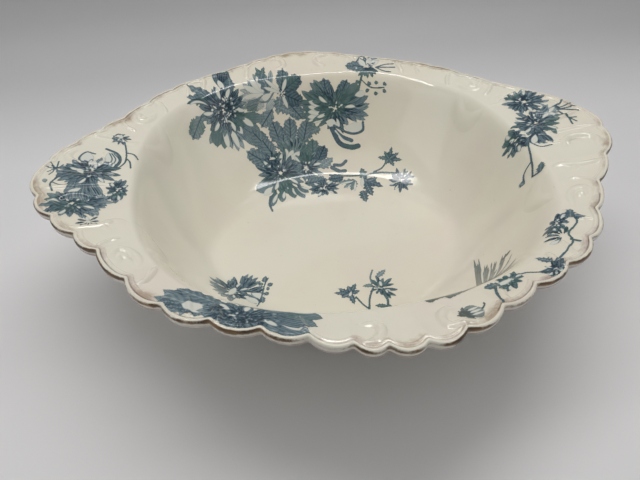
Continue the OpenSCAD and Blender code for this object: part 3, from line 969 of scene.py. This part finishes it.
def grass(s):
    """Plume that starts on the flange and fans out down the wall in long thin strokes."""
    s.line([s.at(-84, 91), s.at(-78, 90), s.at(-73, 88)], 2.2, 0.75)
    s.line([s.at(-80, 92), s.at(-74, 91), s.at(-66, 89)], 1.4, 0.55)
    root = np.array(s.at(-70, 87))
    for share in np.linspace(0, 1, 27):
        jitter = s.random.uniform(-1.5, 1.5, 2)
        tip = np.array(s.at(-35 - 9 * share + jitter[0], 68 + 17 * share + jitter[1]))
        stroke = tip - root
        begin = root + s.random.uniform(0.05, 0.4) * stroke
        end = root + s.random.uniform(0.75, 1.05) * stroke
        s.blade(begin, end, s.random.uniform(1.1, 1.9), s.random.uniform(0.45, 0.9), 0.06)
    for share in (0.1, 0.35, 0.6, 0.85):
        tip = np.array(s.at(-37 - 9 * share, 70 + 16 * share))
        s.pale(root + 0.5 * (tip - root), root + 0.9 * (tip - root), 0.9, 0.06)
    s.blade(s.at(-44, 80), s.at(-40, 82), 2.2, 0.95)


def round_bud(s):
    s.blade((3.5, 0), (-3.5, 0), 7, 0.35)
    s.fan((4, 0), 4.5, 130, 230, 6, 0.95)
    for height in (-1.5, 0, 1.5):
        s.pale((-3, height), (1, height * 0.8), 0.9)
    s.line([(-3.5, 0), (-5, -1), (-5.5, -2)], 0.7)
    s.tuft((3.2, 0), 1.5, tones=(1.0, 0.9, 0.7))


def floor_sprig(s):
    s.line([(-3, -2), (1, 3), (4, 9)], 1)
    s.line([(4, 9), (5.5, 5), (6.5, 0)], 0.9)
    s.line([(-6, 3), (-6, 7), (-4, 11)], 1.2)
    for tip in ((-6, 12), (-1, 12), (1, 8)):
        s.leaf((-4, 10), tip, 2.4, 0.95)
    for tip in ((9, 4), (3, -3), (3, -8), (7, -8), (12, -8), (15, -6), (13, -2)):
        s.leaf((8, -3), tip, 2.8, 0.9)
    s.pale((7, -4), (9, -1.5), 1.2)
    s.fan((-6, -1), 8, 100, 280, 8)
    s.fan((-6, -1), 5, -80, 80, 5, 0.7)
    s.pale((-7, -1), (-8, -5), 1.6)
    s.tuft((-7, 0), 2.4)
    s.line([(-4, -5), (-5, -9), (-8, -13)], 0.9, 0.6)
    s.leaf((-8, -8), (-14, -11), 3, 0.6)
    s.leaf((-4, -4), (1, -5), 2.4, 0.6)


def near_rim_bloom(s):
    s.fan((8, 3), 19, -18, 22, 7, 0.6, squash=0.8)
    s.leaf((7, 3), (27, 5), 11, 0.7)
    s.leaf((8, 0), (25, -1), 6, 0.78)
    for start in (12, 16, 20, 24):
        s.leaf((start - 3, 6), (start + 2, 9), 3, 0.9)
    s.pale((8, 5), (19, 5), 5)
    for height in (7, 1, -4):
        s.blade((-7, height * 0.6), (-24, height), 6.5, 0.68, 0.04)
        s.pale((-11, height * 0.6 - 2.5), (-21, height - 2.5), 2.6)
        s.line([(-9, height * 0.6 - 4), (-16, height - 4), (-22, height - 4)], 0.7)
    s.fan((-2, -1), 12, 200, 330, 10, 0.62)
    s.bloom((-1, 4), 14, 20, 0.8, squash=0.55, slivers=4)
    for place in (-6, -2, 2, 6):
        s.tuft((place, 4), 3.6, 0.8, (1.0, 0.9, 0.8, 0.45))
    s.leaf((1, 7), (3, 11), 3.4, 1.0)


def near_wall_bloom(s):
    s.fan((2, 2), 13, 10, 130, 11, 0.55)
    s.fan((2, 0), 11, 240, 350, 9, 0.62)
    s.fan((-2, -2), 8, 170, 260, 5, 0.5)
    s.bloom((3, 3), 9, 15, 0.82, slivers=5)
    s.pale((-1, 8), (5, 0), 3)
    s.pale((-3, 0), (-10, -2), 4.5)
    s.pale((-2, -4), (-8, -7), 3.5)
    s.line([(-12, 0), (-9, -4), (-5, -8), (-1, -12), (1, -15)], 0.7, 0.7)
    for tip in ((-8, -9), (-2, -7), (-5, -12), (1, -11), (-11, -4), (-3, -15), (3, -15)):
        root = (np.array(tip) + np.array([-6, -6])) / 2 + np.array([1.5, -1.5])
        s.leaf(root, tip, 2.6, 0.85)


def left_spray(s):
    s.line([(0, 7), (-3, 12), (-9, 15), (-15, 13)])
    s.line([(-6, 14), (-1, 14), (3, 17)])
    s.line([(-8, 6), (-10, 11), (-8, 15)], 0.7, 0.6)
    for tip in ((-1, 18), (2, 19), (5, 18), (6, 15), (-3, 17), (4, 13)):
        s.line([(1, 15), tip], 0.6, 0.7)
    s.blade((-9, 17), (-6, 18), 2.0, 0.35)
    s.line([(2, -8), (8, -11), (14, -11), (20, -10), (24, -9)])
    s.line([(12, -11), (9, -13), (4, -14)])
    s.line([(16, -11), (15, -14), (12, -16)])
    s.pale((2, -6), (17, -4), 7, -0.15)
    for across in (-1, 0.5, 2):
        s.line([(4, -6 + across), (10, -7.5 + across), (15, -5 + across * 0.6)], 0.55)
    s.line([(2, -7), (9, -9), (15, -7), (18, -2)], 1.3, 0.9)
    s.fan((27, -7), 4.5, 100, 340, 8, 0.85)
    s.line([(24, -8), (26, -4), (30, -5), (30, -8)])
    s.pale((26, -7), (29.5, -6.5), 2.4)
    s.bloom((-13, -11), 9, 13, 0.75, squash=0.5)
    s.fan((-22, 2), 12, 200, 300, 9, 0.55)
    s.bloom((-23, 4), 11, 18, 0.78)
    s.pale((-20, 3), (-15, 6), 2.8)
    s.fan((-4, 2), 17, 150, 215, 11, 0.62, squash=0.7)
    s.fan((-1, 4), 11, 50, 150, 9, 0.65)
    s.pale((-12, 3), (-16, 7), 3)
    s.pale((4, 3), (15, 5), 5.5, 0.1)
    s.line([(4, 5), (10, 8), (15, 6), (14, 2)], 0.8, 0.85)
    s.bloom((0, 1), 11, 17, 0.82, slivers=6)
    s.pale((1, 1), (7, 1), 3)
    s.pale((-2, 4), (2, 7), 3)
    s.tuft((3, 2), 2)
    s.fan((-35, -4), 4.5, 30, 320, 8)
    s.pale((-35, -4), (-32, -3), 1.6)


# Angle and distance from the middle of each spray's own point, in the order of the seeds.
SPRAYS = {
    main_bloom: (122, 88), star_leaf: (99, 87), curled_bloom: (80, 80), low_bloom: (106, 61),
    branch: (60, 57), top_sprig: (66, 97), far_right_spray: (6, 98), right_rim_spray: (-54, 98),
    grass: (-58, 84), round_bud: (-79, 102), floor_sprig: (-80, 40), near_rim_bloom: (-120, 96),
    near_wall_bloom: (-150, 58), left_spray: (177, 104),
}
FIRST_SEED = 11


# ---- Materials ----

class Nodes:
    """Material with a short call for each kind of node."""

    def __init__(self, name):
        self.material = bpy.data.materials.new(name)
        self.material.use_nodes = True
        self.tree = self.material.node_tree
        self.shader = self.tree.nodes["Principled BSDF"]
        self.coords = self.add("ShaderNodeTexCoord")

    def add(self, kind, **settings):
        """New node. Settings are names of its inputs or of its own properties."""
        node = self.tree.nodes.new(kind)
        for key, value in settings.items():
            if key in node.inputs:
                node.inputs[key].default_value = value
            else:
                setattr(node, key, value)
        return node

    def feed(self, socket, value):
        """Link an output to an input, or set the input to a number or a colour."""
        if isinstance(value, bpy.types.NodeSocket):
            self.tree.links.new(value, socket)
        else:
            socket.default_value = value

    def shade(self, name, value):
        self.feed(self.shader.inputs[name], value)

    def place(self):
        return self.coords.outputs["Object"]

    def axes(self):
        node = self.add("ShaderNodeSeparateXYZ")
        self.feed(node.inputs[0], self.place())
        return node.outputs

    def attribute(self, name):
        return self.add("ShaderNodeAttribute", attribute_name=name).outputs["Fac"]

    def noise(self, scale, detail=4.0, roughness=0.5):
        node = self.add("ShaderNodeTexNoise", Scale=scale, Detail=detail, Roughness=roughness)
        self.feed(node.inputs["Vector"], self.place())
        return node.outputs["Fac"]

    def span(self, value, low_in, high_in, low_out=0.0, high_out=1.0):
        """Value spread from one range over another, and kept inside it."""
        limits = {"From Min": low_in, "From Max": high_in, "To Min": low_out, "To Max": high_out}
        node = self.add("ShaderNodeMapRange", **limits)
        self.feed(node.inputs["Value"], value)
        return node.outputs["Result"]

    def mix(self, factor, a, b):
        node = self.add("ShaderNodeMix", data_type="RGBA")
        for name, value in (("Factor", factor), ("A", a), ("B", b)):
            self.feed(node.inputs[name], value)
        return node.outputs["Result"]

    def math(self, operation, a, b):
        node = self.add("ShaderNodeMath", operation=operation)
        self.feed(node.inputs[0], a)
        self.feed(node.inputs[1], b)
        return node.outputs[0]

    def bump(self, height, strength, distance, normal=None):
        node = self.add("ShaderNodeBump", Strength=strength, Distance=distance)
        self.feed(node.inputs["Height"], height)
        if normal is not None:
            self.feed(node.inputs["Normal"], normal)
        return node.outputs["Normal"]


def srgb(r, g, b):
    """Linear colour from 8-bit display values."""
    out = []
    for c in (r, g, b):
        c /= 255
        out.append(c / 12.92 if c <= 0.04045 else ((c + 0.055) / 1.055) ** 2.4)
    return (*out, 1.0)


CREAM = srgb(234, 230, 214)
CREAM_WARM = srgb(229, 220, 200)
CREAM_PINK = srgb(231, 219, 211)
SPECK = srgb(150, 136, 112)
LILAC_STAIN = srgb(186, 162, 160)
TEA_STAIN = srgb(168, 146, 122)
BARE_CLAY = srgb(196, 178, 150)
DARK_GOLD = srgb(92, 76, 62)
LIGHT_GOLD = srgb(140, 112, 80)
WHITE_FILL = srgb(212, 216, 209)
INK_TONES = {0.1: srgb(186, 194, 192), 0.32: srgb(148, 162, 164), 0.55: srgb(104, 124, 131),
             0.78: srgb(68, 90, 101), 1.0: srgb(36, 52, 64)}


def glaze_colour(n):
    """Cream glaze, a little warmer, pinker or greyer from place to place."""
    warm = n.span(n.noise(14, 3.0), 0.42, 0.68)
    colour = n.mix(n.math("MULTIPLY", warm, 0.55), CREAM, CREAM_WARM)
    pink = n.span(n.noise(26, 5.0, 0.6), 0.5, 0.72)
    colour = n.mix(n.math("MULTIPLY", pink, 0.45), colour, CREAM_PINK)
    specks = n.span(n.noise(420, 2.0), 0.72, 0.8)
    return n.mix(n.math("MULTIPLY", specks, 0.18), colour, SPECK)


def glaze_finish(n, colour, rough=None):
    """Glossy coat over a colour, with slight ripples."""
    n.shade("Base Color", colour)
    n.shade("Roughness", rough or n.span(n.noise(60, 4.0), 0.3, 0.7, 0.06, 0.12))
    n.shade("IOR", 1.52)
    ripple = n.bump(n.noise(38, 2.0, 0.4), 0.35, 0.0006)
    n.shade("Normal", n.bump(n.noise(260, 2.0), 0.12, 0.0001, ripple))
    return n.material


def glaze_material():
    """Plain glaze, with tea-coloured and lilac stains that gather along the scalloped edge."""
    n = Nodes("cream_glaze")
    edge = n.attribute("edge")
    gathered = n.math("ADD", n.noise(60, 6.0, 0.7), n.math("MULTIPLY", edge, 0.32))
    stain = n.math("MULTIPLY", n.span(gathered, 0.66, 0.82), n.span(edge, 0.05, 0.5))
    tint = n.mix(n.span(n.noise(30), 0.4, 0.6), LILAC_STAIN, TEA_STAIN)
    return glaze_finish(n, n.mix(n.math("MULTIPLY", stain, 0.8), glaze_colour(n), tint))


def foot_material():
    """Glaze that is worn off the flat face that the bowl stands on."""
    n = Nodes("foot_glaze")
    height = n.math("ADD", n.axes()["Z"], n.span(n.noise(90), 0, 1, -0.0006, 0.0006))
    bare = n.span(height, 0.0012, 0.0004)
    colour = n.mix(bare, glaze_colour(n), BARE_CLAY)
    return glaze_finish(n, colour, n.span(bare, 0, 1, 0.16, 0.75))


def gilding_material():
    n = Nodes("worn_gilding")
    wear = n.math("ADD", n.noise(70, 6.0, 0.7), n.math("MULTIPLY", n.attribute("band"), 0.42))
    gold = n.span(wear, 0.78, 0.9)
    brown = n.mix(n.span(n.noise(160), 0.35, 0.65), DARK_GOLD, LIGHT_GOLD)
    n.shade("Metallic", n.math("MULTIPLY", gold, 0.55))
    return glaze_finish(n, n.mix(gold, glaze_colour(n), brown), n.span(gold, 0, 1, 0.15, 0.38))


def ink_material(name, strength, cast, patches):
    """Print under the glaze, darker where the ink lies thicker, with a second cast in patches."""
    n = Nodes(name)
    ink, pale = n.attribute("ink"), n.attribute("pale")
    grain = n.span(n.noise(700, 3.0, 0.6), 0.3, 0.7, -0.08, 0.08)
    ramp = n.add("ShaderNodeValToRGB")
    first, *between, last = INK_TONES.items()
    for stop, (place, colour) in zip(ramp.color_ramp.elements, (first, last)):
        stop.position, stop.color = place, colour
    for place, colour in between:
        ramp.color_ramp.elements.new(place).color = colour
    n.feed(ramp.inputs["Fac"], n.math("ADD", n.math("MULTIPLY", ink, strength), grain))
    colour = n.mix(n.span(n.noise(55, 3.0), *patches), ramp.outputs["Color"], cast)
    colour = n.mix(n.span(ink, 0.03, 0.22), glaze_colour(n), colour)
    return glaze_finish(n, n.mix(n.math("MULTIPLY", pale, 0.7), colour, WHITE_FILL))


def give(piece, material):
    piece.data.materials.clear()
    piece.data.materials.append(material)


glaze = glaze_material()
bowl = bowl_mesh()
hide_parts("bowl_body")
thread_line = rim_thread_piece()
for piece in [bowl, thread_line] + [relief_piece(node_name) for node_name in RELIEF]:
    mark_edge(piece)
    give(piece, glaze)
give(gilding_piece(), gilding_material())
give(foot_piece(), foot_material())
blue = ink_material("blue_ink", 1.0, srgb(84, 114, 104), (0.52, 0.64, 0.0, 0.5))
grey = ink_material("grey_ink", 0.9, srgb(104, 108, 94), (0.3, 0.6, 0.45, 0.85))
for seed, (design, (angle, distance)) in enumerate(SPRAYS.items(), FIRST_SEED):
    spray = Spray(angle, distance, seed)
    design(spray)
    slot_name = "print_grey" if design is grass else "print_blue"
    spray.piece("print_" + design.__name__, slot_name, grey if design in (grass, round_bud) else blue)


# ---- Stage, light and camera ----

PAPER = (0.80, 0.79, 0.80, 1)
PAPER_LIGHT = (0.84, 0.835, 0.84, 1)
# Grey of the far paper: painted shade for the lamps' light falling off, not the paper's own colour.
PAPER_PAINTED_SHADE = (0.46, 0.46, 0.465, 1)


def paper_material():
    """Pale paper with painted shade: it turns grey far back and up the sweep, where the lamps' light falls
    off.
    """
    n = Nodes("paper")
    tone = n.mix(n.span(n.noise(3, 3.0), 0.35, 0.7), PAPER, PAPER_LIGHT)
    axes = n.axes()
    falloff_shade = n.math("ADD", axes["Y"], axes["Z"])
    # Painted shade: the paper's colour darkens with distance back and height up the sweep.
    n.shade("Base Color", n.mix(n.span(falloff_shade, 0.12, 0.42), tone, PAPER_PAINTED_SHADE))
    n.shade("Roughness", 0.75)
    n.shade("Normal", n.bump(n.noise(900, 2.0), 0.1, 0.0002))
    return n.material


def sweep():
    """Paper sweep: flat under the bowl, then a soft bend up to a low backdrop."""
    xs = np.linspace(-6000, 6000, 33)
    profile = [(-1500, 0), (-600, 0), (0, 0), (200, 0), (260, 0), (275, 0.6), (290, 3), (302, 8),
               (312, 17), (320, 30), (325, 50), (328, 90), (330, 200), (331, 700)]
    rows = [np.stack([xs, np.full_like(xs, y), np.full_like(xs, z)], -1) for y, z in profile]
    faces = [f[::-1] for f in strips((len(rows), len(xs)), closed=False)]
    piece = mesh_object("paper_sweep", np.concatenate(rows), faces)
    give(piece, paper_material())


def area_light(name, place, power, size, colour=(1, 1, 1), aim=(0, 0, 0), size_y=None):
    data = bpy.data.lights.new(name, "AREA")
    data.energy, data.size, data.color = power, size, colour
    if size_y:
        data.shape, data.size_y = "RECTANGLE", size_y
    lamp = put(name, data)
    lamp.location = place
    lamp.rotation_euler = (Vector(aim) - Vector(place)).to_track_quat("-Z", "Y").to_euler()


sweep()
area_light("tent_lamp", (0.0, 0.05, 0.5), power=1.1, size=0.6, colour=(1.0, 0.985, 0.96), size_y=0.05)
area_light("ceiling", (0.0, 0.03, 1.1), power=3.2, size=1.2, colour=(1.0, 0.99, 0.98))
area_light("left_fill", (-0.9, -0.15, 0.45), power=0.9, size=0.6)
area_light("right_fill", (0.9, -0.25, 0.45), power=0.7, size=0.6, aim=(0.2, -0.1, 0))
world = bpy.data.worlds.new("room")
world.use_nodes = True
background = world.node_tree.nodes["Background"].inputs
background["Color"].default_value = (0.9, 0.93, 1.0, 1)
background["Strength"].default_value = 0.14
bpy.context.scene.world = world
bpy.context.scene.view_settings.view_transform = "Standard"

yaw, pitch, roll = math.radians(10.8), math.radians(41.3), math.radians(-0.8)
camera_data = bpy.data.cameras.new("camera")
camera_data.sensor_width = 36
camera_data.lens = 28.1
camera = put("camera", camera_data)
camera.location = (-0.0439, -0.1881, 0.1776)
camera.rotation_euler = (
    Matrix.Rotation(-yaw, 3, "Z") @ Matrix.Rotation(math.pi / 2 - pitch, 3, "X")
    @ Matrix.Rotation(roll, 3, "Z")).to_euler()
bpy.context.scene.camera = camera
